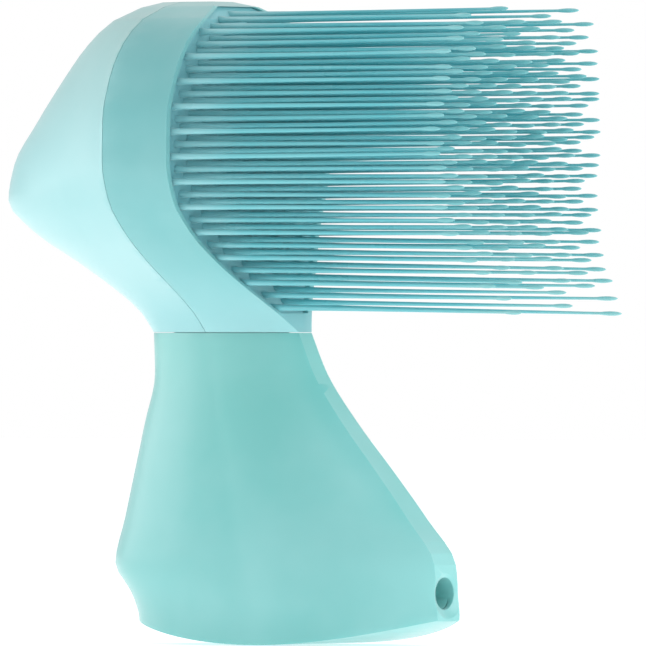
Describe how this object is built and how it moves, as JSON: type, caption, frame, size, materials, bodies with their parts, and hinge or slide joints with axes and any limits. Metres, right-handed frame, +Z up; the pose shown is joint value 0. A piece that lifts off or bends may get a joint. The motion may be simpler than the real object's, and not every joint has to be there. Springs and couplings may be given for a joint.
{
  "type": "pet grooming pin brush",
  "caption": "Hand-held pet grooming brush with a humped head, long soft bead-tipped pins and a flared handle with a hanging hole.",
  "frame": {"origin": "on the axis of the hanging hole, midway across the handle", "axes": "+Z up the handle towards the head, +X the way the pins point, Y across the brush"},
  "size_m": [0.161, 0.068, 0.1499],
  "materials": {
    "handle_plastic": "satin moulded mint plastic",
    "frame_plastic": "satin moulded mint plastic",
    "cover_plastic": "satin moulded pale mint plastic",
    "bed_elastomer": "soft matt elastomer",
    "plate_plastic": "moulded",
    "pin_plastic": "soft translucent plastic"
  },
  "bodies": {
    "brush": {"handle": "handle_plastic", "head_frame": "frame_plastic", "back_cover": "cover_plastic", "pin_bed": "bed_elastomer", "backing_plate": "plate_plastic", "pin_row_01": "pin_plastic", "pin_row_02": "pin_plastic", "pin_row_03": "pin_plastic", "pin_row_04": "pin_plastic", "pin_row_05": "pin_plastic", "pin_row_06": "pin_plastic", "pin_row_07": "pin_plastic", "pin_row_08": "pin_plastic", "pin_row_09": "pin_plastic", "pin_row_10": "pin_plastic", "pin_row_11": "pin_plastic", "pin_row_12": "pin_plastic", "pin_row_13": "pin_plastic", "pin_row_14": "pin_plastic", "pin_row_15": "pin_plastic", "pin_row_16": "pin_plastic", "pin_row_17": "pin_plastic", "pin_row_18": "pin_plastic", "pin_row_19": "pin_plastic", "pin_row_20": "pin_plastic", "pin_row_21": "pin_plastic", "pin_row_22": "pin_plastic", "pin_row_23": "pin_plastic", "pin_row_24": "pin_plastic"}
  },
  "joints": []
}
